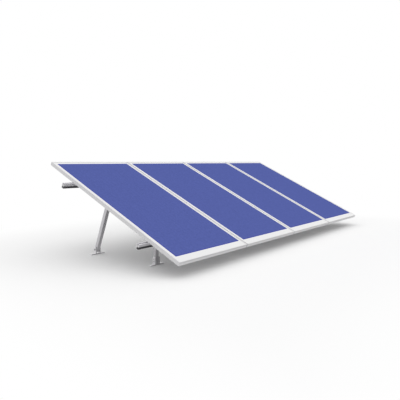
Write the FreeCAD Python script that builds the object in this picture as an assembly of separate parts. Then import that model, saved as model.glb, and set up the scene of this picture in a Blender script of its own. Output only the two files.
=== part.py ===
import FreeCAD, Part

import math
import os

# A rack for one row of framed solar panels, standing on the ground or on a flat roof.
# Two rails carry the panels, three sloped beams carry the rails, and each beam stands on an
# upright post in front and a leaning leg behind, both bolted into feet that screw to the ground.
#
# Millimetres. +X runs along the row, +Y from the low front edge to the high rear edge, +Z up.
# The origin is on the ground, under the middle of the panels.

# The row of panels
panel_count = 4
panel_width = 990.0
panel_length = 1805.0
panel_gap = 10.0
tilt = 25.5
front_clearance = 109.0

# Panel frame, an extrusion seen in section: s runs inwards from the outer face, h up from below
frame_height = 35.0
frame_wall = 1.8
frame_lip_width = 12.0
frame_lip_drop = 1.5
groove_slack = 0.5
chamber_depth = 17.0
flange_width = 30.0
flange_hole_inset = 21.0
flange_slot_length = 14.0
corner_key_arm = 60.0

# Laminate of glass, filler, cells and white rear sheet
laminate_thickness = 5.0
cell_margin_side = 36.3
cell_margin_front = 77.0
cell_margin_rear = 47.0
cell_thickness = 0.6

# Junction box on the rear sheet
box_width = 110.0
box_length = 80.0
box_depth = 20.0
box_lid_depth = 8.0
box_from_rear = 150.0
box_corner = 6.0
gland_drop = 7.0
gland_width = 11.0
gland_neck_width = 8.8
gland_length = 12.0
gland_spacing = 60.0

# T-slot, the same in the rails and the beams
slot_opening = 9.0
slot_cavity = 20.0
slot_lip = 3.0
slot_cavity_depth = 8.0

# Rails, an extrusion seen in section: v runs up the slope, w away from it
rail_length = 4210.0
rail_width = 28.0
rail_height = 48.0
rail_wall = 2.5
rail_channel_height = 19.0
rail_channel_depth = 18.0
rail_flange = 3.0
rail_plug_length = 15.0
rail_front_setback = 360.0
rail_rear_setback = 1420.0

# Beams
support_count = 3
support_spacing = 1708.0
beam_width = 40.0
beam_height = 50.0
beam_wall = 2.5
beam_front_setback = 300.0
beam_rear_setback = 1490.0

# Posts and legs, rectangular tubes with a forked top
tube_width = 40.0
tube_wall = 2.5
tube_corner = 1.6
post_depth = 27.0
leg_depth = 36.0
post_setback = 516.0
feet_spacing = 802.6
fork_below_pin = 18.5
leg_below_pin = 22.5

# Hinge brackets under the beams
rear_hinge_setback = 1184.7
front_hinge_drop = 30.0
rear_hinge_drop = 54.0
hinge_plate = 6.0
hinge_plate_length = 90.0
hinge_plate_corner = 4.0
hinge_bolt_spacing = 64.0
lug_thickness = 6.0
lug_end_radius = 10.0
lug_root_depth = 30.0

# Feet
foot_length = 165.0
foot_depth = 31.0
foot_height = 75.0
foot_base = 8.0
foot_lug = 9.0
foot_lug_corner = 3.0
foot_root_cut = 3.0
anchor_spacing = 114.0
anchor_radius = 5.5
foot_bolt_low = 37.0
foot_bolt_pitch = 18.5
foot_pin_height = 47.5

# Fasteners: small ones in the slots, thinner ones through the front feet, thick ones as pivots
small_bolt = 8.0
small_hole = 9.0
small_nut_flats = 13.0
small_nut_height = 6.5
foot_bolt = 6.0
foot_bolt_hole = 6.6
foot_bolt_flats = 10.0
foot_bolt_head_height = 4.0
foot_nut_height = 5.0
t_head_length = 18.0
t_head_width = 8.4
t_head_height = 3.6
t_bolt_length = 20.0
pivot_bolt = 10.0
pivot_hole = 10.5
pivot_flats = 17.0
pivot_head_height = 6.4
pivot_nut_height = 8.0
bolt_end = 3.0
thread_gap = 0.1

# Fits and edges
slide_gap = 0.2
edge_cut = 0.8

# Share of a square's half side that its corners lose in a regular octagon
octagon_cut = 2 - math.sqrt(2)

# Worked out from the sizes above
tilt_sin = math.sin(math.radians(tilt))
tilt_cos = math.cos(math.radians(tilt))
panel_pitch = panel_width + panel_gap
slot_depth = slot_lip + slot_cavity_depth
laminate_top = frame_height - frame_lip_drop - groove_slack
laminate_bottom = laminate_top - laminate_thickness
chamber_top = laminate_bottom - frame_wall
chamber_bottom = chamber_top - chamber_depth
foot_gap = tube_width + 2 * slide_gap
foot_half = foot_gap / 2 + foot_lug
# Row Y of the panels' front lower edge, which puts the origin under their middle
front_edge_y = ((frame_height - edge_cut) * tilt_sin - panel_length * tilt_cos) / 2
front_foot_y = front_edge_y - frame_height * tilt_sin + post_setback
rear_foot_y = front_foot_y + feet_spacing
support_names = ["left", "middle", "right"]


def on_slope(x, v, w):
    """A point of the slope: v up it from the panels' lower edge, w away from their underside."""
    y = front_edge_y + v * tilt_cos - w * tilt_sin
    z = front_clearance + v * tilt_sin + w * tilt_cos
    return FreeCAD.Vector(x, y, z)


def tilted(shape):
    """Moves a shape made in the flat frame (x, v, w) to its place on the slope."""
    turned = shape.copy()
    turn = FreeCAD.Rotation(FreeCAD.Vector(1, 0, 0), tilt)
    turned.Placement = FreeCAD.Placement(on_slope(0, 0, 0), turn).multiply(turned.Placement)
    return turned


def outline(points):
    """A closed wire through (a, b) points in the XY plane; a third number cuts that corner off."""
    corners = [FreeCAD.Vector(p[0], p[1], 0) for p in points]
    path = []
    for i, point in enumerate(points):
        if len(point) == 2:
            path.append(corners[i])
            continue
        for other in (corners[i - 1], corners[(i + 1) % len(corners)]):
            path.append(corners[i] + (other - corners[i]).normalize() * point[2])
    return Part.makePolygon(path + path[:1])


def extrusion(points, chambers, length):
    """A profile with its closed chambers, pushed along +Z."""
    wires = [outline(points)] + [outline(chamber) for chamber in chambers]
    face = Part.makeFace(wires, "Part::FaceMakerBullseye")
    return face.extrude(FreeCAD.Vector(0, 0, length))


def rectangle(a0, a1, b0, b1, cut=None):
    """The four corners of a rectangle, for outline, cut off by cut if that is given."""
    corners = [(a0, b0), (a1, b0), (a1, b1), (a0, b1)]
    return corners if cut is None else [corner + (cut,) for corner in corners]


def octagon(flats):
    """A square with its corners cut off into a regular octagon, for outline."""
    half = flats / 2
    return rectangle(-half, half, -half, half, half * octagon_cut)


def rod(diameter, length):
    """An eight-sided rod along +Z that stays inside a round one."""
    return extrusion(octagon(diameter * math.cos(math.pi / 8)), [], length)


def block(x0, x1, y0, y1, z0, z1):
    """A box between two corners."""
    return Part.makeBox(x1 - x0, y1 - y0, z1 - z0, FreeCAD.Vector(x0, y0, z0))


def along_x(shape, x, y=0, z=0):
    """Turns a profile drawn as (y, z) and pushed along +Z so that it runs along +X from x."""
    laid = shape.copy()
    axes = FreeCAD.Matrix(0, 0, 1, x, 1, 0, 0, y, 0, 1, 0, z, 0, 0, 0, 1)
    laid.Placement = FreeCAD.Placement(axes)
    return laid


def along_y(shape, x, y, z=0):
    """Turns a profile drawn as (z, x) and pushed along +Z so that it runs along +Y from y."""
    laid = shape.copy()
    axes = FreeCAD.Matrix(0, 1, 0, x, 0, 0, 1, y, 1, 0, 0, z, 0, 0, 0, 1)
    laid.Placement = FreeCAD.Placement(axes)
    return laid


def x_hole(width, x0, x1, y, z):
    """A cutter for an eight-sided hole along X, that a rod of that width passes."""
    return along_x(extrusion(octagon(width), [], x1 - x0), x0, y, z)


def z_hole(width, x, y, z0, z1):
    """A cutter for an eight-sided hole along Z, that a rod of that width passes."""
    cutter = extrusion(octagon(width), [], z1 - z0)
    cutter.translate(FreeCAD.Vector(x, y, z0))
    return cutter


def save(shapes, node):
    """Writes one piece, or a group of like pieces, to its file."""
    if not isinstance(shapes, list):
        shapes = [shapes]
    solids = []
    for shape in shapes:
        solids.extend(shape.Solids)
    whole = solids[0] if len(solids) == 1 else Part.makeCompound(solids)
    whole.exportStep("parts/" + node + ".step")


# Panel frame: one hollow section, cut to length with mitred ends

def frame_section():
    """The frame's outline and its chamber, as (s, h) points."""
    shelf = laminate_bottom
    lip_bottom = frame_height - frame_lip_drop
    points = [
        (0, 0),
        (flange_width, 0),
        (flange_width, frame_wall),
        (frame_wall, frame_wall),
        (frame_wall, chamber_bottom - frame_wall),
        (frame_lip_width, chamber_bottom - frame_wall),
        (frame_lip_width, shelf),
        (frame_wall, shelf),
        (frame_wall, lip_bottom),
        (frame_lip_width, lip_bottom),
        (frame_lip_width, frame_height),
        (0, frame_height, edge_cut),
    ]
    chamber = rectangle(frame_wall, frame_lip_width - frame_wall, chamber_bottom, chamber_top)
    return points, chamber


def frame_member(length, holes):
    """One member along +X with its outer face on y = 0, mitred at both ends, with slots at holes."""
    points, chamber = frame_section()
    bar = along_x(extrusion(points, [chamber], length), 0)
    mitre = flange_width
    plan = [(0, 0), (length, 0), (length - mitre, mitre), (mitre, mitre)]
    bar = bar.common(extrusion(plan, [], frame_height))
    for place in holes:
        half = (flange_slot_length - small_hole) / 2
        sides = rectangle(
            place - half - small_hole / 2,
            place + half + small_hole / 2,
            flange_hole_inset - small_hole / 2,
            flange_hole_inset + small_hole / 2,
            small_hole / 2 * octagon_cut,
        )
        bar = bar.cut(extrusion(sides, [], frame_wall))
    return bar


def turned_flat(shape, angle, x, y):
    """Turns a shape about the vertical and moves it, in the flat frame."""
    moved = shape.copy()
    turn = FreeCAD.Rotation(FreeCAD.Vector(0, 0, 1), angle)
    moved.Placement = FreeCAD.Placement(FreeCAD.Vector(x, y, 0), turn).multiply(moved.Placement)
    return moved


def corner_key():
    """An L-shaped key that fills the chamber round one corner."""
    inner = frame_wall + slide_gap
    outer = frame_lip_width - frame_wall - slide_gap
    tip = inner + corner_key_arm
    plan = [(inner, inner), (tip, inner), (tip, outer), (outer, outer), (outer, tip), (inner, tip)]
    key = extrusion(plan, [], chamber_top - chamber_bottom - slide_gap)
    key.translate(FreeCAD.Vector(0, 0, chamber_bottom))
    return key


def laminate():
    """The glass slab with a shallow pocket that the blue cells lie in, centred on x = 0."""
    edge = frame_wall + slide_gap
    half = panel_width / 2
    slab = block(edge - half, half - edge, edge, panel_length - edge, laminate_bottom, laminate_top)
    return slab.cut(cell_field())


def cell_field():
    """The blue field, flush with the top of the glass."""
    reach = panel_width / 2 - cell_margin_side
    rear = panel_length - cell_margin_rear
    return block(-reach, reach, cell_margin_front, rear, laminate_top - cell_thickness, laminate_top)


def junction_box():
    """A shallow box with a stepped lid and two lead glands, under the laminate near its upper end."""
    bottom = laminate_bottom - box_depth
    middle = panel_length - box_from_rear
    half_x = box_width / 2
    half_y = box_length / 2
    body_sides = rectangle(-half_x, half_x, -half_y, half_y, box_corner)
    body = extrusion(body_sides, [], box_depth - box_lid_depth)
    body.translate(FreeCAD.Vector(0, middle, bottom + box_lid_depth))
    step = box_corner / 2
    lid_sides = rectangle(step - half_x, half_x - step, step - half_y, half_y - step, box_corner - step)
    lid = extrusion(lid_sides, [], box_lid_depth)
    lid.translate(FreeCAD.Vector(0, middle, bottom))
    box = body.fuse(lid)
    for side in (-1, 1):
        start = (side * gland_spacing / 2, middle - half_y, laminate_bottom - gland_drop)
        for width, length in ((gland_width, gland_length / 2), (gland_neck_width, gland_length)):
            gland = along_y(extrusion(octagon(width), [], length), 0, -length)
            gland.translate(FreeCAD.Vector(*start))
            box = box.fuse(gland)
    return box.removeSplitter()


def build_panels():
    """All pieces of all panels."""
    holes = [rail_front_setback, rail_rear_setback]
    left = frame_member(panel_length, [panel_length - place for place in holes])
    right = frame_member(panel_length, holes)
    across = frame_member(panel_width, [])
    half = panel_width / 2
    key = corner_key()
    keys = []
    for i in range(panel_count):
        middle = (i - (panel_count - 1) / 2) * panel_pitch
        name = "panel_" + str(i + 1) + "_"
        pieces = {
            "frame_left": turned_flat(left, -90, middle - half, panel_length),
            "frame_right": turned_flat(right, 90, middle + half, 0),
            "frame_lower": turned_flat(across, 0, middle - half, 0),
            "frame_upper": turned_flat(across, 180, middle + half, panel_length),
            "laminate": turned_flat(laminate(), 0, middle, 0),
            "cell_field": turned_flat(cell_field(), 0, middle, 0),
            "junction_box": turned_flat(junction_box(), 0, middle, 0),
        }
        for piece in pieces:
            save(tilted(pieces[piece]), name + piece)
        corners = [
            (0, -half, 0),
            (90, half, 0),
            (180, half, panel_length),
            (-90, -half, panel_length),
        ]
        for angle, x, y in corners:
            keys.append(tilted(turned_flat(key, angle, middle + x, y)))
    save(keys, "frame_corner_keys")


# Rails and beams: extrusions with the same T-slot

def slot_points(top, upwards):
    """The eight points of a T-slot that opens at height top, for a walk from -a to +a or back."""
    sign = 1 if upwards else -1
    neck = slot_opening / 2
    wide = slot_cavity / 2
    lip = top - sign * slot_lip
    floor = top - sign * slot_depth
    return [
        (sign * neck, top),
        (sign * neck, lip),
        (sign * wide, lip),
        (sign * wide, floor),
        (-sign * wide, floor),
        (-sign * wide, lip),
        (-sign * neck, lip),
        (-sign * neck, top),
    ]


def rail_chambers(inset):
    """A rail's two closed chambers as (v, w) rectangles, drawn inwards by inset."""
    channel_top = rail_flange + rail_channel_height - rail_height
    channel_back = rail_channel_depth - rail_width / 2
    side = rail_width / 2 - rail_wall - inset
    roof = -slot_depth - rail_wall - inset
    floor = rail_wall - rail_height + inset
    return [
        rectangle(-side, side, channel_top + rail_wall + inset, roof),
        rectangle(channel_back + rail_wall + inset, side, floor, channel_top - inset),
    ]


def rail(place):
    """One rail along X, centred at v = place, hanging from the panels' underside at w = 0."""
    half = rail_width / 2
    channel_top = rail_flange + rail_channel_height - rail_height
    channel_back = rail_channel_depth - half
    points = [
        (-half, -rail_height, edge_cut),
        (half, -rail_height, edge_cut),
        (half, 0, edge_cut),
    ]
    points += slot_points(0, True)
    points += [
        (-half, 0, edge_cut),
        (-half, channel_top, edge_cut),
        (channel_back, channel_top),
        (channel_back, rail_flange - rail_height),
        (-half, rail_flange - rail_height),
    ]
    bar = along_x(extrusion(points, rail_chambers(0), rail_length), -rail_length / 2, place)
    for x in support_places():
        hole_v = place + rail_bolt_offset()
        bar = bar.cut(z_hole(small_hole, x, hole_v, -rail_height, rail_flange - rail_height))
    return bar


def rail_plugs():
    """The plugs pushed into the chambers at the ends of both rails, flush with the ends."""
    plugs = []
    for place in (rail_front_setback, rail_rear_setback):
        for start in (-rail_length / 2, rail_length / 2 - rail_plug_length):
            for sides in rail_chambers(slide_gap):
                plug = extrusion(sides, [], rail_plug_length)
                plugs.append(tilted(along_x(plug, start, place)))
    return plugs


def rail_bolt_offset():
    """Where the bolts through a rail's lower flange stand, from the rail's middle."""
    return (rail_channel_depth - rail_width) / 2


def support_places():
    """The X of each support's middle."""
    return [(i - (support_count - 1) / 2) * support_spacing for i in range(support_count)]


def beam(x):
    """One beam up the slope, under the rails."""
    half = beam_width / 2
    points = [(half, 0, edge_cut)]
    points += slot_points(0, True)
    points += [(-half, 0, edge_cut), (-half, -beam_height, edge_cut)]
    points += slot_points(-beam_height, False)
    points += [(half, -beam_height, edge_cut)]
    core = slot_cavity / 2
    side_in = core + beam_wall
    side_out = half - beam_wall
    top = -beam_wall
    bottom = beam_wall - beam_height
    chambers = [
        rectangle(-side_out, -side_in, bottom, top),
        rectangle(side_in, side_out, bottom, top),
        rectangle(-core, core, slot_depth + beam_wall - beam_height, -slot_depth - beam_wall),
    ]
    swapped = [(p[1], p[0]) + tuple(p[2:]) for p in points]
    swapped_chambers = [[(b, a) for a, b in chamber] for chamber in chambers]
    bar = extrusion(swapped, swapped_chambers, beam_rear_setback - beam_front_setback)
    return along_y(bar, x, beam_front_setback, -rail_height)


# Hinge brackets, posts and legs

def beam_underside():
    """The w of the beams' lower face."""
    return -rail_height - beam_height


def front_hinge_setback():
    """The v at which the front hinge's pin stands straight above the front foot."""
    pin_w = beam_underside() - front_hinge_drop
    return (front_foot_y - front_edge_y + pin_w * tilt_sin) / tilt_cos


def hinge(x, place, drop):
    """A plate under the beam with two lugs that reach into the forked tube, pin at drop below."""
    top = beam_underside()
    half_plate = hinge_plate_length / 2
    half_beam = beam_width / 2
    sides = rectangle(x - half_beam, x + half_beam, -half_plate, half_plate, hinge_plate_corner)
    plate = extrusion(sides, [], hinge_plate)
    plate.translate(FreeCAD.Vector(0, place, top - hinge_plate))
    root = lug_root_depth / 2
    reach = drop - hinge_plate
    side_view = [
        (root, reach),
        (-root, reach),
        (-lug_end_radius, 0),
        (-lug_end_radius, -lug_end_radius, lug_end_radius * octagon_cut),
        (lug_end_radius, -lug_end_radius, lug_end_radius * octagon_cut),
        (lug_end_radius, 0),
    ]
    lug = extrusion(side_view, [], lug_thickness)
    outer = tube_width / 2 - tube_wall - slide_gap
    pin_w = top - drop
    pieces = []
    for start in (-outer, outer - lug_thickness):
        pieces.append(along_x(lug, x + start, place, pin_w))
    bracket = plate.fuse(pieces).removeSplitter()
    bracket = bracket.cut(x_hole(pivot_hole, x - outer, x + outer, place, pin_w))
    for side in (-1, 1):
        bolt_v = place + side * hinge_bolt_spacing / 2
        bracket = bracket.cut(z_hole(small_hole, x, bolt_v, top - hinge_plate, top))
    return bracket


def forked_tube(depth, bottom, pin_height):
    """A tube up +Z about x = y = 0 from bottom, with its top forked and cut round about a pin."""
    half_x = tube_width / 2
    half_y = depth / 2
    top = pin_height + half_y
    outer = extrusion(rectangle(-half_x, half_x, -half_y, half_y, tube_corner), [], top - bottom)
    outer.translate(FreeCAD.Vector(0, 0, bottom))
    cut = half_y * octagon_cut
    side_view = [(-half_y, bottom), (half_y, bottom), (half_y, top, cut), (-half_y, top, cut)]
    outer = outer.common(along_x(extrusion(side_view, [], tube_width), -half_x))
    inside_x = half_x - tube_wall
    inside_y = half_y - tube_wall
    tube = outer.cut(block(-inside_x, inside_x, -inside_y, inside_y, bottom, top))
    tube = tube.cut(block(-inside_x, inside_x, -half_y, half_y, pin_height - fork_below_pin, top))
    return tube.cut(x_hole(pivot_hole, -half_x, half_x, 0, pin_height))


def front_pin(x):
    """The pin at the top of the front post."""
    return on_slope(x, front_hinge_setback(), beam_underside() - front_hinge_drop)


def post(x):
    """The upright front post, standing on the base of its foot."""
    tube = forked_tube(post_depth, foot_base, front_pin(x).z)
    for height in foot_bolt_heights():
        tube = tube.cut(x_hole(foot_bolt_hole, -tube_width / 2, tube_width / 2, 0, height))
    tube.translate(FreeCAD.Vector(x, front_foot_y, 0))
    return tube


def rear_pins(x):
    """The lower and upper pin of the rear leg."""
    lower = FreeCAD.Vector(x, rear_foot_y, foot_pin_height)
    upper = on_slope(x, rear_hinge_setback, beam_underside() - rear_hinge_drop)
    return lower, upper


def leg(x):
    """The leaning rear leg, with the front corner of its fork cut back so that it can fold."""
    lower, upper = rear_pins(x)
    reach = upper - lower
    lean = math.degrees(math.atan2(-reach.y, reach.z))
    tube = forked_tube(leg_depth, -leg_below_pin, reach.Length)
    tube = tube.cut(x_hole(pivot_hole, -tube_width / 2, tube_width / 2, 0, 0))
    half = leg_depth / 2
    start = reach.Length - fork_below_pin
    top = reach.Length + half
    back = (top - start) * math.tan(math.radians(lean))
    corner = [(-half, start), (-half, top), (-half + back, top)]
    tube = tube.cut(along_x(extrusion(corner, [], tube_width), -tube_width / 2))
    turn = FreeCAD.Rotation(FreeCAD.Vector(1, 0, 0), lean)
    tube.Placement = FreeCAD.Placement(lower, turn).multiply(tube.Placement)
    return tube


# Feet: one U-shaped extrusion with a flange on either side

def foot_bolt_heights():
    """Heights of the two bolts through a front foot."""
    return [foot_bolt_low, foot_bolt_low + foot_bolt_pitch]


def foot(x, y, hole_width, hole_heights):
    """A foot with bolt holes through both lugs and a round anchor hole in each flange."""
    half = foot_length / 2
    gap = foot_gap / 2
    points = [
        (-half, 0),
        (half, 0),
        (half, foot_base, edge_cut),
        (foot_half, foot_base, foot_root_cut),
        (foot_half, foot_height, edge_cut),
        (gap, foot_height, edge_cut),
        (gap, foot_base),
        (-gap, foot_base),
        (-gap, foot_height, edge_cut),
        (-foot_half, foot_height, edge_cut),
        (-foot_half, foot_base, foot_root_cut),
        (-half, foot_base, edge_cut),
    ]
    swapped = [(p[1], p[0]) + tuple(p[2:]) for p in points]
    body = along_y(extrusion(swapped, [], foot_depth), 0, -foot_depth / 2)
    reach = foot_depth / 2
    side_view = [
        (-reach, 0),
        (reach, 0),
        (reach, foot_height, foot_lug_corner),
        (-reach, foot_height, foot_lug_corner),
    ]
    body = body.common(along_x(extrusion(side_view, [], foot_length), -half))
    for height in hole_heights:
        body = body.cut(x_hole(hole_width, -foot_half, foot_half, 0, height))
    for side in (-1, 1):
        centre = FreeCAD.Vector(side * anchor_spacing / 2, 0, 0)
        body = body.cut(Part.makeCylinder(anchor_radius, foot_base, centre))
    body.translate(FreeCAD.Vector(x, y, 0))
    return body


# Fasteners, each made at the origin and pointing along +Z with its seat on z = 0

def hexagon(flats):
    """The six corners of a hexagon, for outline."""
    radius = flats / math.sqrt(3)
    angles = [math.pi / 3 * i for i in range(6)]
    return [(radius * math.cos(angle), radius * math.sin(angle)) for angle in angles]


def t_bolt():
    """A bolt with a bar head that locks across a T-slot; z = 0 is the top of the head."""
    half_x = t_head_width / 2
    half_y = t_head_length / 2
    head = block(-half_x, half_x, -half_y, half_y, -t_head_height, 0)
    return head.fuse(rod(small_bolt, t_bolt_length)).removeSplitter()


def nut(diameter, flats, height):
    """A hexagon nut for a bolt of that diameter."""
    return extrusion(hexagon(flats), [octagon(diameter + 2 * thread_gap)], height)


def hex_bolt(diameter, flats, head_height, length):
    """A bolt with a hexagon head below z = 0."""
    head = extrusion(hexagon(flats), [], head_height)
    head.translate(FreeCAD.Vector(0, 0, -head_height))
    return head.fuse(rod(diameter, length)).removeSplitter()


def pointed(shape, direction, base, spin=0):
    """Points a fastener along direction with its seat at base, spun about its own axis."""
    spun = FreeCAD.Rotation(FreeCAD.Vector(0, 0, 1), spin)
    turn = FreeCAD.Rotation(FreeCAD.Vector(0, 0, 1), direction)
    placed = shape.copy()
    placed.Placement = FreeCAD.Placement(base, turn.multiply(spun))
    return placed


def slot_joint(x, v, face, grip, upwards, head_along_x):
    """A T-bolt and its nut at a slot that opens at height face, clamping a thickness of grip."""
    sign = 1 if upwards else -1
    direction = FreeCAD.Vector(0, 0, sign)
    spin = 90 if head_along_x else 0
    bolt = pointed(t_bolt(), direction, FreeCAD.Vector(x, v, face - sign * slot_lip), spin)
    nut_shape = nut(small_bolt, small_nut_flats, small_nut_height)
    seated = pointed(nut_shape, direction, FreeCAD.Vector(x, v, face + sign * grip))
    return tilted(bolt), tilted(seated)


def build_slot_joints():
    """The T-bolts with their nuts: panels on rails, rails on beams, hinges under beams."""
    t_bolts = []
    small_nuts = []
    joints = []
    for i in range(panel_count):
        middle = (i - (panel_count - 1) / 2) * panel_pitch
        reach = panel_width / 2 - flange_hole_inset
        for x in (middle - reach, middle + reach):
            for v in (rail_front_setback, rail_rear_setback):
                joints.append((x, v, 0, frame_wall, True, False))
    for x in support_places():
        for place in (rail_front_setback, rail_rear_setback):
            joints.append((x, place + rail_bolt_offset(), -rail_height, rail_flange, True, True))
        for place in (front_hinge_setback(), rear_hinge_setback):
            for side in (-1, 1):
                v = place + side * hinge_bolt_spacing / 2
                joints.append((x, v, beam_underside(), hinge_plate, False, True))
    for joint in joints:
        bolt, seated = slot_joint(*joint)
        t_bolts.append(bolt)
        small_nuts.append(seated)
    save(t_bolts, "t_bolts")
    save(small_nuts, "small_nuts")


def build_cross_bolts():
    """The bolts that cross the posts and legs along X, and their nuts."""
    foot_width = 2 * foot_half
    groups = {}

    def cross(bolt_node, nut_node, sizes, centre, width):
        diameter, flats, head_height, nut_height = sizes
        along = FreeCAD.Vector(1, 0, 0)
        bolt = hex_bolt(diameter, flats, head_height, width + nut_height + bolt_end)
        seated = nut(diameter, flats, nut_height)
        groups.setdefault(bolt_node, []).append(pointed(bolt, along, centre - along * (width / 2)))
        groups.setdefault(nut_node, []).append(pointed(seated, along, centre + along * (width / 2)))

    foot_sizes = (foot_bolt, foot_bolt_flats, foot_bolt_head_height, foot_nut_height)
    pivot_sizes = (pivot_bolt, pivot_flats, pivot_head_height, pivot_nut_height)
    for x in support_places():
        for height in foot_bolt_heights():
            centre = FreeCAD.Vector(x, front_foot_y, height)
            cross("foot_bolts", "foot_nuts", foot_sizes, centre, foot_width)
        lower, upper = rear_pins(x)
        for pin in (front_pin(x), upper):
            cross("hinge_pivot_bolts", "pivot_nuts", pivot_sizes, pin, tube_width)
        cross("foot_pivot_bolts", "pivot_nuts", pivot_sizes, lower, foot_width)
    for node in groups:
        save(groups[node], node)


def build_supports():
    """Beam, hinges, post, leg and feet of every support."""
    for i, x in enumerate(support_places()):
        name = "support_" + support_names[i] + "_"
        save(tilted(beam(x)), name + "beam")
        save(tilted(hinge(x, front_hinge_setback(), front_hinge_drop)), name + "front_hinge")
        save(tilted(hinge(x, rear_hinge_setback, rear_hinge_drop)), name + "rear_hinge")
        save(post(x), name + "front_post")
        save(leg(x), name + "rear_leg")
        save(foot(x, front_foot_y, foot_bolt_hole, foot_bolt_heights()), name + "front_foot")
        save(foot(x, rear_foot_y, pivot_hole, [foot_pin_height]), name + "rear_foot")


os.makedirs("parts", exist_ok=True)
build_panels()
save(tilted(rail(rail_front_setback)), "rail_front")
save(tilted(rail(rail_rear_setback)), "rail_rear")
save(rail_plugs(), "rail_end_plugs")
build_supports()
build_slot_joints()
build_cross_bolts()
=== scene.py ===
import math

import bmesh
import bpy
from mathutils import Matrix, Vector


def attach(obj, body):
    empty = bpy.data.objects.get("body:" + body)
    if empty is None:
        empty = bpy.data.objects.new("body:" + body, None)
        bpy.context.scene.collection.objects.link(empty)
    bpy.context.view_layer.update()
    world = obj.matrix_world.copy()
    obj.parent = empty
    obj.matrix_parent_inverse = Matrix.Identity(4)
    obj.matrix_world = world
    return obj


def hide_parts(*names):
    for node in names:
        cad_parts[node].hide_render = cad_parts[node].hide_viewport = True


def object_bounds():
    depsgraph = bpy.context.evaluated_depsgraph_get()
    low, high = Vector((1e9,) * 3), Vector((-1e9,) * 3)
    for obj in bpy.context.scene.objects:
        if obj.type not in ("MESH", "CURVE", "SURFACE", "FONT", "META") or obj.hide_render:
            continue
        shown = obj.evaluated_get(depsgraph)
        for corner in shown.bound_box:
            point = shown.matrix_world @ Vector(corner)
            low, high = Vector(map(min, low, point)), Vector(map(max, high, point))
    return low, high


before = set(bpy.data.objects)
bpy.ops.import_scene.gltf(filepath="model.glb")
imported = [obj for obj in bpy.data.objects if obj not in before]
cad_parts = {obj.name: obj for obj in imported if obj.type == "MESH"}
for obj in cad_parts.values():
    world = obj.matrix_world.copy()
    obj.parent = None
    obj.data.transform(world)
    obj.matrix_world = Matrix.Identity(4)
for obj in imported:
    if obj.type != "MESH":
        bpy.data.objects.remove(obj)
cad_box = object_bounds()

# Feet
# Each foot is a short slice of a U-shaped aluminium extrusion with a flange on either side, sawn
# off, tumbled and screwed to the ground. The front ones clamp a post, the rear ones hold a leg.

# The feet's aluminium is lightened with painted light, and their front and back ends are darkened
# with painted shade.
satin_aluminium = (0.645, 0.635, 0.66)
sawn_aluminium = (0.82, 0.82, 0.83)
foot_aluminium_painted_light = (0.88, 0.87, 0.89)
foot_ends_painted_shade = (0.55, 0.545, 0.56)
front_to_back = (0, 0, math.radians(-90))
# A face is a sawn end when this much of its normal is along the extrusion.
end_face = 0.8
die_lines = (2.0, 420.0, 420.0)
die_line_depth = 0.00015
# How dark the painted shade is, as a share of the metal's colour.
painted_shade_tone = 0.32


class Pattern:
    """A value that changes from place to place. Arithmetic on it adds Math nodes."""

    def __init__(self, shading, socket):
        self.shading = shading
        self.socket = socket

    def maths(self, operation, *values):
        """Adds one Math node."""
        return self.shading.node("ShaderNodeMath", {"operation": operation}, dict(enumerate(values)))

    def __add__(self, other):
        return self.maths("ADD", self, other)

    def __radd__(self, other):
        return self.maths("ADD", other, self)

    def __sub__(self, other):
        return self.maths("SUBTRACT", self, other)

    def __rsub__(self, other):
        return self.maths("SUBTRACT", other, self)

    def __mul__(self, other):
        return self.maths("MULTIPLY", self, other)

    def __rmul__(self, other):
        return self.maths("MULTIPLY", other, self)

    def __mod__(self, other):
        return self.maths("FLOORED_MODULO", self, other)

    def __lt__(self, other):
        return self.maths("LESS_THAN", self, other)

    def __gt__(self, other):
        return self.maths("GREATER_THAN", self, other)

    def __abs__(self):
        return self.maths("ABSOLUTE", self)

    def either(self, other):
        """The larger of two values, so that one of two masks is enough."""
        return self.maths("MAXIMUM", self, other)

    def off_line(self, spacing):
        """The distance from the nearest of a set of lines, spacing apart."""
        return self.maths("PINGPONG", self, spacing / 2)


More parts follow.
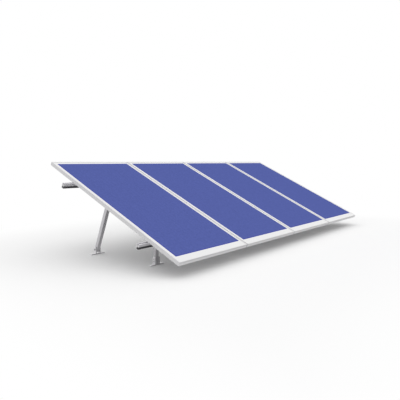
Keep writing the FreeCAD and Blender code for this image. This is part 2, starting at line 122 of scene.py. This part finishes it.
class Shading:
    """One shader, and the nodes that vary it from place to place."""

    def __init__(self, tree, shader, constants):
        self.tree = tree
        self.shader = tree.nodes[shader]
        for socket, value in constants.items():
            self.shader.inputs[socket].default_value = value

    def node(self, kind, settings=None, inputs=None, output=0):
        """Adds a node: its settings first, then what its sockets hold or are linked to."""
        node = self.tree.nodes.new(kind)
        for setting, value in (settings or {}).items():
            setattr(node, setting, value)
        for socket, value in (inputs or {}).items():
            if isinstance(value, Pattern):
                self.tree.links.new(value.socket, node.inputs[socket])
            else:
                node.inputs[socket].default_value = value
        return Pattern(self, node.outputs[output])

    def place(self, turn=(0, 0, 0), move=(0, 0, 0)):
        """The piece's own coordinates, turned and then moved."""
        coordinates = self.node("ShaderNodeTexCoord", output="Object")
        inputs = {"Vector": coordinates, "Rotation": turn, "Location": move}
        return self.node("ShaderNodeMapping", None, inputs)

    def facing(self):
        """Where the surface faces, in the piece's own axes."""
        return self.node("ShaderNodeTexCoord", output="Normal")

    def turned(self, direction, turn):
        """A direction after the same turn as place() gives."""
        inputs = {"Vector": direction, "Rotation": turn}
        return self.node("ShaderNodeVectorRotate", {"rotation_type": "EULER_XYZ"}, inputs)

    def axes(self, vector):
        """The three numbers of a vector."""
        return [self.node("ShaderNodeSeparateXYZ", None, {0: vector}, axis) for axis in range(3)]

    def noise(self, vector, scale, detail=2.0, roughness=0.5):
        """Cloudy values from 0 to 1, with the scale in clouds per metre."""
        inputs = {"Vector": vector, "Scale": scale, "Detail": detail, "Roughness": roughness}
        return self.node("ShaderNodeTexNoise", None, inputs)

    def blend(self, mask, first, second):
        """Goes from one colour to another as the mask goes from 0 to 1."""
        colors = [c if isinstance(c, Pattern) else (*c, 1.0) for c in (first, second)]
        # The Mix node's colours are its sockets 6 and 7, and their mix is its output 2.
        inputs = {0: mask, 6: colors[0], 7: colors[1]}
        return self.node("ShaderNodeMix", {"data_type": "RGBA"}, inputs, output=2)

    def mottle(self, pattern, color, dark, light):
        """A colour that goes from a darker to a lighter tone as the pattern goes from 0 to 1."""
        return self.blend(pattern, tone(color, dark), tone(color, light))

    def backdrop_rays(self):
        """1 for the rays that see the white background: the camera's and those off gloss."""
        camera_ray = self.node("ShaderNodeLightPath", output="Is Camera Ray")
        glossy_ray = self.node("ShaderNodeLightPath", output="Is Glossy Ray")
        return camera_ray.either(glossy_ray)

    def shade(self, socket, value):
        """Links a pattern to a socket of the shader."""
        self.tree.links.new(value.socket, self.shader.inputs[socket])

    def relief(self, height, depth):
        """Raises the surface by a pattern, depth metres at most."""
        inputs = {"Strength": 1.0, "Distance": depth, "Height": height}
        self.shade("Normal", self.node("ShaderNodeBump", None, inputs))


class Finish(Shading):
    """A material of one Principled shader."""

    def __init__(self, name, color, constants=None):
        self.material = bpy.data.materials.new(name)
        self.material.use_nodes = True
        constants = {"Base Color": (*color, 1.0), **(constants or {})}
        super().__init__(self.material.node_tree, "Principled BSDF", constants)

    def give(self, nodes):
        """Puts the finish on CAD nodes."""
        for node in nodes:
            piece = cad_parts[node]
            piece.data.materials.clear()
            piece.data.materials.append(self.material)


def named(*endings):
    """The CAD nodes whose names end so."""
    return [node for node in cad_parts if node.endswith(endings)]


def tone(color, factor):
    """A lighter or darker version of a colour."""
    return tuple(part * factor for part in color)


def extruded(name, turn, color=satin_aluminium, end_color=sawn_aluminium, painted_shade_mask=None):
    """Drawn aluminium: die lines along the direction that the turn lays on +X, and sawn ends.

    The painted shade mask, if there is one, is a function that says where painted shade darkens the
    metal.
    """
    finish = Finish(name, color, {"Metallic": 0.5})
    along = finish.place(turn=turn)
    drawn_out = {0: along, 1: die_lines}
    lengthwise = finish.node("ShaderNodeVectorMath", {"operation": "MULTIPLY"}, drawn_out)
    lines = finish.noise(lengthwise, scale=1.0, detail=3.0, roughness=0.6)
    clouds = finish.noise(along, scale=9.0, detail=3.0)
    normal = finish.turned(finish.facing(), turn)
    ends = abs(finish.axes(normal)[0]) > end_face
    body = finish.mottle(lines * 0.5 + clouds * 0.5, color, dark=0.86, light=1.12)
    if painted_shade_mask:
        body = finish.blend(painted_shade_mask(finish, along, normal), body, tone(color, painted_shade_tone))
    # The ends take the end colour: a sawn tone, or on the feet painted shade.
    finish.shade("Base Color", finish.blend(ends, body, end_color))
    finish.shade("Roughness", 0.25 + lines * 0.15 + ends * 0.1)
    finish.relief(lines + clouds * 0.3, die_line_depth)
    return finish


foot_finish = extruded("bracket_extrusion", front_to_back, foot_aluminium_painted_light, foot_ends_painted_shade)
foot_finish.give(named("_foot"))

# Posts and legs
# Rectangular aluminium tube with rounded corners, cut to length. The top is forked round the lugs
# of a hinge bracket, and a bolt goes through the fork.

leg_lean = math.radians(21.3)
on_end = math.radians(90)
# The posts' aluminium is darkened with painted shade, for their place under the panels.
post_aluminium_painted_shade = tone(satin_aluminium, 0.85)
post_finish = extruded("upright_tube", (0, on_end, 0), post_aluminium_painted_shade)
post_finish.give(named("_front_post"))
leg_finish = extruded("leaning_tube", (-leg_lean, on_end, 0))
leg_finish.give(named("_rear_leg"))

# Hinge brackets
# Each is a plate with two lugs, cut from a solid aluminium extrusion. Two T-head bolts hold it
# under its beam, and the fork of a post or leg is bolted round the lugs.

hinge_finish = extruded("hinge_extrusion", (0, 0, 0))
hinge_finish.give(named("_hinge"))

# Sloped beams
# Extruded aluminium beams with a T-slot above and below and hollow flanks, sawn to length and
# laid up the slope. They rest on the hinge brackets and carry both rails.

slope = math.radians(25.5)
beam_finish = extruded("beam_extrusion", (-slope, 0, math.radians(-90)))
beam_finish.give(named("_beam"))

# Rails
# Two long aluminium extrusions across the beams, with a T-slot on top for the panels' bolts and an
# open channel in front. One T-head bolt in the slot of each beam holds them.

rail_aluminium = (0.715, 0.705, 0.735)
channel_depth = 0.026
# A face looks along an axis when this much of its normal does.
looks_along = 0.5
flat_turn = (-slope, 0, 0)
lay_flat = Matrix.Rotation(-slope, 3, "X")


def laid_box(node):
    """A node's lowest and highest corners with the panels laid flat."""
    points = [lay_flat @ corner.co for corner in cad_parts[node].data.vertices]
    return [Vector([pick(axis) for axis in zip(*points)]) for pick in (min, max)]


channel_top = laid_box("rail_rear")[1].z - channel_depth


def channel(finish, along, normal):
    """Where shade is painted: 1 in the open channel and below it, but not on the back of the rail.
    """
    low = finish.axes(along)[2] < channel_top
    return low * (finish.axes(normal)[1] < looks_along)


# The rails' channel and the edge of the flange below it are darkened with painted shade.
rail_finish = extruded("rail_extrusion", flat_turn, rail_aluminium, painted_shade_mask=channel)
rail_finish.give(["rail_front", "rail_rear"])

# Rail end plugs
# Light grey plugs of moulded plastic, pressed into the two chambers at each end of a rail until
# they are flush with the sawn end.

plug_grey = (0.62, 0.62, 0.63)
speckle_depth = 0.0001
plug_finish = Finish("grey_moulded_plastic", plug_grey)
speckle = plug_finish.noise(plug_finish.place(), scale=1500.0)
plug_finish.shade("Roughness", 0.42 + speckle * 0.2)
plug_finish.relief(speckle, speckle_depth)
plug_finish.give(["rail_end_plugs"])

# Bolts and nuts
# Stainless steel: T-head bolts in the slots of the rails and beams, hexagon bolts through the feet
# and forks, each with a nut. The threads are rolled, and the corners of heads and nuts chamfered.

steel_grey = (0.50, 0.50, 0.51)
steel = Finish("stainless_steel", steel_grey, {"Metallic": 1.0})
grain = steel.noise(steel.place(), scale=900.0)
steel.shade("Roughness", 0.26 + grain * 0.14)
stand_back = lay_flat.inverted().to_4x4()
quarter_turn = Matrix.Rotation(math.pi / 2, 4, "Z")
point_down = Matrix.Rotation(math.pi, 4, "X")
point_right = Matrix.Rotation(math.pi / 2, 4, "Y")
as_built = Matrix.Identity(3)
same_place = 0.000001
round_steps = 24
smooth_below = math.radians(32)
# Heads and nuts: the slant of the chamfered corners, and how far out it starts, as a share of the
# width over flats.
corner_slant = math.radians(30)
corner_cut = 0.495
head_edge = 0.0006
clearance = 0.0001
# Threads: their depth, one turn's height and the tip's chamfer as shares of the pitch, and their
# length in radii of the bolt.
thread_depth = 0.6
thread_turn = 0.99
tip_chamfer = 0.4
thread_length = 5
thread_overlap = 0.00005
coil_steps = 16


def solids(node, turn):
    """The lowest, highest and mean points of each separate solid of a node, after a turn."""
    mesh = bmesh.new()
    mesh.from_mesh(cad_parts[node].data)
    bmesh.ops.remove_doubles(mesh, verts=mesh.verts, dist=same_place)
    bmesh.ops.transform(mesh, matrix=turn.to_4x4(), verts=mesh.verts)
    waiting = set(mesh.verts)
    found = []
    while waiting:
        group = [waiting.pop()]
        for corner in group:
            near = {edge.other_vert(corner) for edge in corner.link_edges} & waiting
            waiting -= near
            group.extend(near)
        axes = list(zip(*(corner.co for corner in group)))
        low, high = (Vector([pick(values) for values in axes]) for pick in (min, max))
        mean = sum((corner.co for corner in group), Vector()) / len(group)
        found.append((low, high, mean))
    mesh.free()
    return sorted(found, key=lambda points: tuple(points[0]))


def span(found):
    """The size of the first of some equal solids."""
    low, high, _ = found[0]
    return high - low


def hexagon(mesh, flats, low, high, chamfered, hole=0.0):
    """A hexagon, solid or with a round hole, its corners chamfered at the heights given."""
    base = quarter_turn @ Matrix.Translation((0, 0, low))
    radius = flats / math.sqrt(3)
    bmesh.ops.create_circle(mesh, segments=6, radius=radius, matrix=base, cap_ends=not hole)
    if hole:
        bmesh.ops.subdivide_edges(mesh, edges=mesh.edges[:], cuts=round_steps // 6 - 1)
        bmesh.ops.create_circle(mesh, segments=round_steps, radius=hole, matrix=base)
        bmesh.ops.bridge_loops(mesh, edges=mesh.edges[:])
    raised = bmesh.ops.extrude_face_region(mesh, geom=mesh.faces[:])["geom"]
    top = [item for item in raised if isinstance(item, bmesh.types.BMVert)]
    bmesh.ops.translate(mesh, vec=(0, 0, high - low), verts=top)
    for height in chamfered:
        tip = 1 if height == high else -1
        for corner in range(6):
            angle = corner * math.pi / 3
            sideways = Vector((math.cos(angle), math.sin(angle), 0))
            upwards = Vector((0, 0, tip * math.cos(corner_slant)))
            cut = bmesh.ops.bisect_plane(
                mesh,
                geom=[*mesh.verts, *mesh.edges, *mesh.faces],
                dist=same_place / 10,
                plane_co=sideways * flats * corner_cut + Vector((0, 0, height)),
                plane_no=sideways * math.sin(corner_slant) + upwards,
                clear_outer=True,
            )["geom_cut"]
            edges = [item for item in cut if isinstance(item, bmesh.types.BMEdge)]
            bmesh.ops.contextual_create(mesh, geom=edges)
    bmesh.ops.remove_doubles(mesh, verts=mesh.verts, dist=same_place)


def rod(mesh, radius, low, high, chamfer=0.0):
    """A round rod along Z, chamfered at its high end."""
    base = Matrix.Translation((0, 0, low))
    made = bmesh.ops.create_circle(
        mesh, segments=round_steps, radius=radius, matrix=base, cap_ends=True
    )
    disc = made["verts"][0].link_faces[:]
    raised = bmesh.ops.extrude_face_region(mesh, geom=disc)["geom"]
    top = [item for item in raised if isinstance(item, bmesh.types.BMVert)]
    bmesh.ops.translate(mesh, vec=(0, 0, high - low), verts=top)
    if chamfer:
        rim = [item for item in raised if isinstance(item, bmesh.types.BMEdge)]
        bmesh.ops.bevel(
            mesh, geom=rim, offset=chamfer, affect="EDGES", segments=1, profile=0.5, material=-1
        )


def threaded(mesh, radius, pitch, shank, length):
    """A rod along +Z from z = 0, with a rolled thread from the end of its plain shank."""
    if shank:
        rod(mesh, radius, 0.0, shank)
    core = radius - thread_depth * pitch
    rod(mesh, core + thread_overlap, shank, length, tip_chamfer * pitch)
    turns = int(round((length - shank) / pitch, 2)) - 1
    crest = shank + pitch / 2
    ridge = [(core, 0, shank), (radius, 0, crest), (core, 0, shank + thread_turn * pitch)]
    section = mesh.faces.new([mesh.verts.new(point) for point in ridge])
    bmesh.ops.spin(
        mesh,
        geom=[section, *section.edges, *section.verts],
        axis=(0, 0, 1),
        dvec=(0, 0, pitch / coil_steps),
        angle=turns * 2 * math.pi,
        steps=turns * coil_steps,
    )


def hex_bolt(flats, head, radius, pitch, length):
    """A hexagon-headed bolt along +Z with its seat at z = 0."""
    mesh = bmesh.new()
    hexagon(mesh, flats, -head, 0.0, [-head])
    threaded(mesh, radius, pitch, length - thread_length * radius, length)
    return mesh


def t_bolt(head_width, head_length, head, radius, pitch, length):
    """A bolt along +Z with its seat at z = 0, whose bar head has its long side along Y."""
    mesh = bmesh.new()
    size = Matrix.Diagonal((head_width, head_length, head, 1))
    box = Matrix.Translation((0, 0, -head / 2)) @ size
    bmesh.ops.create_cube(mesh, size=1.0, matrix=box)
    edges = mesh.edges[:]
    bmesh.ops.bevel(
        mesh, geom=edges, offset=head_edge, affect="EDGES", segments=2, profile=0.5, material=-1
    )
    threaded(mesh, radius, pitch, 0.0, length)
    return mesh


def nut(flats, height, radius):
    """A hexagon nut along +Z with its seat at z = 0."""
    mesh = bmesh.new()
    hexagon(mesh, flats, 0.0, height, [0.0, height], radius + clearance)
    return mesh


def fasten(node, master, places):
    """Puts one fastener in each place, instead of a CAD node."""
    single = bpy.data.meshes.new(node + "_single")
    bmesh.ops.recalc_face_normals(master, faces=master.faces)
    master.to_mesh(single)
    master.free()
    together = bmesh.new()
    for place in places:
        together.from_mesh(single)
        together.verts.ensure_lookup_table()
        newest = together.verts[-len(single.vertices):]
        bmesh.ops.transform(together, matrix=place, verts=newest)
    mesh = bpy.data.meshes.new(node + "_detailed")
    together.to_mesh(mesh)
    together.free()
    bpy.data.meshes.remove(single)
    mesh.polygons.foreach_set("use_smooth", [True] * len(mesh.polygons))
    mesh.set_sharp_from_angle(angle=smooth_below)
    mesh.materials.append(steel.material)
    piece = bpy.data.objects.new(node + "_detailed", mesh)
    bpy.context.scene.collection.objects.link(piece)
    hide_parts(node)
    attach(piece, "root")


t_head = 0.0036
slot_radius = 0.004
slot_pitch = 0.00125

slot_bolts = solids("t_bolts", lay_flat)
head_width, head_length = sorted(span(slot_bolts).xy)
shaft = span(slot_bolts).z - t_head
bolt_places = []
for low, high, mean in slot_bolts:
    middle = (low + high) / 2
    head_below = mean.z < middle.z
    seat = low.z + t_head if head_below else high.z - t_head
    place = stand_back @ Matrix.Translation((middle.x, middle.y, seat))
    if not head_below:
        place = place @ point_down
    if high.x - low.x > high.y - low.y:
        place = place @ quarter_turn
    bolt_places.append(place)
slot_bolt = t_bolt(head_width, head_length, t_head, slot_radius, slot_pitch, shaft)
fasten("t_bolts", slot_bolt, bolt_places)

slot_nuts = solids("small_nuts", lay_flat)
nut_places = []
for low, high, _ in slot_nuts:
    middle = (low + high) / 2
    nut_places.append(stand_back @ Matrix.Translation((middle.x, middle.y, low.z)))
slot_nut = nut(span(slot_nuts).y, span(slot_nuts).z, slot_radius)
fasten("small_nuts", slot_nut, nut_places)

foot_thread = {"radius": 0.003, "pitch": 0.001}
pivot_thread = {"radius": 0.005, "pitch": 0.0015}
foot_head = 0.004
pivot_head = 0.0064
cross_fasteners = {
    "foot_bolts": {"head": foot_head, **foot_thread},
    "hinge_pivot_bolts": {"head": pivot_head, **pivot_thread},
    "foot_pivot_bolts": {"head": pivot_head, **pivot_thread},
    "foot_nuts": foot_thread,
    "pivot_nuts": pivot_thread,
}

for node, sizes in cross_fasteners.items():
    head = sizes.get("head", 0.0)
    found = solids(node, as_built)
    size = span(found)
    places = []
    for low, high, _ in found:
        middle = (low + high) / 2
        seat = Matrix.Translation((low.x + head, middle.y, middle.z))
        places.append(seat @ point_right)
    if head:
        master = hex_bolt(flats=size.y, length=size.x - head, **sizes)
    else:
        master = nut(size.y, size.x, sizes["radius"])
    fasten(node, master, places)

# Panel frames
# Hollow aluminium members with a white powder coat, mitred and pushed together over corner keys.
# A groove holds the laminate, and bolts through the flange below it hold the panel on the rails.

frame_white = (0.86, 0.855, 0.87)
# Painted shade: how dark the upper band of the front face, the side faces and the faces in the gaps
# between the panels are painted, and how much of the front face's height the band takes.
front_shade = 0.85
side_shade = 0.93
gap_shade = 0.8
front_share = 0.45
mitre_line = 0.0004
mitre_shade = 0.4
peel_depth = 0.0003
coat = Finish("white_powder_coat", frame_white)
peel = coat.noise(coat.place(), scale=700.0)
patches = coat.noise(coat.place(), scale=6.0)
powder = coat.mottle(patches, frame_white, dark=0.975, light=1.02)
# Along the row, up the slope and out of the panels.
u, v, w = coat.axes(coat.place(turn=flat_turn))
outward = coat.axes(coat.turned(coat.facing(), flat_turn))
panel_low = laid_box("panel_1_frame_left")[0]
panel_high = laid_box("panel_1_frame_right")[1]
panel_size = panel_high - panel_low
panel_pitch = laid_box("panel_2_frame_left")[0].x - panel_low.x
front_band = (outward[1] < -looks_along) * (w > panel_high.z - front_share * panel_size.z)
banded = coat.blend(front_band, powder, tone(frame_white, front_shade))
sideways = abs(outward[0]) > looks_along
sided = coat.blend(sideways, banded, tone(frame_white, side_shade))
in_gaps = sideways * (abs(u) < abs(panel_low.x) - panel_size.x / 2)
shaded = coat.blend(in_gaps, sided, tone(frame_white, gap_shade))
across = (u - panel_low.x) % panel_pitch
from_side = panel_size.x / 2 - abs(across - panel_size.x / 2)
from_end = panel_size.y / 2 - abs(v - (panel_low.y + panel_high.y) / 2)
mitre = abs(from_side - from_end) < mitre_line
coat.shade("Base Color", coat.blend(mitre, shaded, tone(frame_white, mitre_shade)))
coat.shade("Roughness", 0.36 + peel * 0.14)
coat.relief(peel * 0.4 - mitre, peel_depth)
coat.give(named("_frame_left", "_frame_right", "_frame_lower", "_frame_upper"))
hinge_finish.give(["frame_corner_keys"])

# Laminates
# Toughened glass with a low-glare surface over a rear sheet, held in the frame's groove. The margins
# round the cells show the sheet's white side, and its underside is grey and shades the legs.

sheet_white = (0.90, 0.90, 0.90)
rear_grey = (0.30, 0.30, 0.31)
ripple_depth = 0.00005
margin = Finish("glass_over_white_sheet", sheet_white, {"Specular IOR Level": 0.1})
ripple = margin.noise(margin.place(), scale=160.0)
underside = margin.axes(margin.facing())[2] < 0.0
white = margin.mottle(ripple, sheet_white, dark=0.985, light=1.01)
margin.shade("Base Color", margin.blend(underside, white, rear_grey))
margin.shade("Roughness", 0.26 + ripple * 0.08)
margin.relief(ripple, ripple_depth)
margin.give(named("_laminate"))

# Cells
# Square blue silicon cells in six columns, joined by thin ribbons and sealed in under the glass.
# The gaps and ribbons are faint and only show from near.

cell_blue = (0.102, 0.133, 0.406)
gap_blue = (0.045, 0.06, 0.26)
border_blue = (0.053, 0.067, 0.379)
ribbon_grey = (0.30, 0.34, 0.50)
cell_columns = 6
cell_rows = 11
ribbons_each = 3
half_gap = 0.001
half_ribbon = 0.0007
border = 0.009
field_low, field_high = laid_box("panel_1_cell_field")
field_width = field_high.x - field_low.x
field_length = field_high.y - field_low.y
soft_glass = {"Roughness": 0.4, "Specular IOR Level": 0.0}
cells = Finish("blue_cells_under_glass", cell_blue, soft_glass)
spot = cells.place(turn=flat_turn, move=tuple(-field_low))
u, v = cells.axes(spot)[:2]
across = u % panel_pitch
column = field_width / cell_columns
row = field_length / cell_rows
ribbon_pitch = column / ribbons_each
gaps = (across.off_line(column) < half_gap).either(v.off_line(row) < half_gap)
ribbons = (across + ribbon_pitch / 2).off_line(ribbon_pitch) < half_ribbon
grains = cells.node("ShaderNodeTexVoronoi", None, {"Vector": spot, "Scale": 90.0}, output="Color")
sparkle = cells.axes(grains)[0]
silicon = cells.mottle(sparkle, cell_blue, dark=0.94, light=1.06)
lined = cells.blend(ribbons * 0.12, silicon, ribbon_grey)
field = cells.blend(gaps * 0.2, lined, gap_blue)
side_border = abs(across - field_width / 2) > field_width / 2 - border
end_border = abs(v - field_length / 2) > field_length / 2 - border
cells.shade("Base Color", cells.blend(side_border.either(end_border), field, border_blue))
cells.give(named("_cell_field"))

# Junction boxes
# Moulded black plastic boxes with two lead glands each, stuck to the rear sheet under the upper
# edge of each panel. A fine seam runs round them where the lid is pressed on.

black_plastic = (0.018, 0.018, 0.02)
lid_height = 0.008
seam_width = 0.0005
box_finish = Finish("black_moulded_plastic", black_plastic)
matt_grain = box_finish.noise(box_finish.place(), scale=1200.0)
box_finish.shade("Roughness", 0.42 + matt_grain * 0.2)
box_height = box_finish.axes(box_finish.place(turn=flat_turn))[2]
lid_edge = laid_box("panel_1_junction_box")[0].z + lid_height
lid_seam = abs(box_height - lid_edge) < seam_width
seam_black = tone(black_plastic, 0.3)
box_finish.shade("Base Color", box_finish.blend(lid_seam, black_plastic, seam_black))
box_finish.relief(matt_grain * 0.2 - lid_seam, seam_width)
box_finish.give(named("_junction_box"))

# Floor
# A plain pale floor that keeps the rack's shadow and fades into the white background round it. It
# only stages the picture and is no part of the rack.

floor_width = 60.0
floor_drop = 0.0002
floor_grey = (0.6, 0.6, 0.6)
floor_glow = 0.08
floor_white = (1.0 - floor_glow,) * 3
black = (0.0, 0.0, 0.0)
fade_start = 0.3
fade_end = 1.5
shadow_reach = 0.6
bpy.ops.mesh.primitive_plane_add(size=floor_width, location=(0, 0, -floor_drop))
floor = bpy.context.object
floor.name = "floor"
matt = {"Roughness": 1.0, "Specular IOR Level": 0.0, "Emission Strength": 1.0}
ground = Finish("pale_floor", floor_grey, matt)
seen = ground.backdrop_rays()
rack_end, rack_back = cad_box[1][:2]
east, north = ground.axes(ground.place())[:2]
outside = (abs(east) - rack_end).either(abs(north) - rack_back - shadow_reach)
spread = {"Value": outside, "From Min": fade_start, "From Max": fade_end}
fade = ground.node("ShaderNodeMapRange", {"interpolation_type": "SMOOTHSTEP"}, spread)
lit = ground.blend(fade, floor_white, black)
glowing = ground.blend(fade, (floor_glow,) * 3, (1.0, 1.0, 1.0))
ground.shade("Base Color", ground.blend(seen, floor_grey, lit))
ground.shade("Emission Color", ground.blend(seen, black, glowing))
floor.data.materials.append(ground.material)

# Light
# A white studio, even all round, and one very large soft lamp straight above the rack, which
# makes the soft shadow under it.

studio_light = 0.79
lamp_power = 0.55
lamp_spread = math.radians(90)
studio = bpy.data.worlds.new("studio")
bpy.context.scene.world = studio
studio.use_nodes = True
surround = Shading(studio.node_tree, "Background", {"Color": (1.0, 1.0, 1.0, 1.0)})
surround.shade("Strength", studio_light + (1.0 - studio_light) * surround.backdrop_rays())

lamp_data = bpy.data.lights.new("overhead_lamp", "SUN")
lamp_data.energy = lamp_power
lamp_data.angle = lamp_spread
lamp = bpy.data.objects.new("overhead_lamp", lamp_data)
bpy.context.scene.collection.objects.link(lamp)

# Camera
# It stands low in front of the rack's left end, where the photograph was taken from, and looks
# along the row and a little down.

camera_place = (-4.670, -3.074, 0.920)
camera_turn = math.radians(37.525)
camera_dip = math.radians(4.8)
camera_data = bpy.data.cameras.new("camera")
camera_data.sensor_fit = "HORIZONTAL"
camera_data.sensor_width = 36.0
camera_data.lens = 41.22
camera_data.clip_end = 200.0
camera = bpy.data.objects.new("camera", camera_data)
camera.location = camera_place
camera.rotation_euler = (math.pi / 2 - camera_dip, 0, camera_turn - math.pi / 2)
bpy.context.scene.collection.objects.link(camera)
bpy.context.scene.camera = camera
bpy.context.scene.view_settings.view_transform = "Standard"
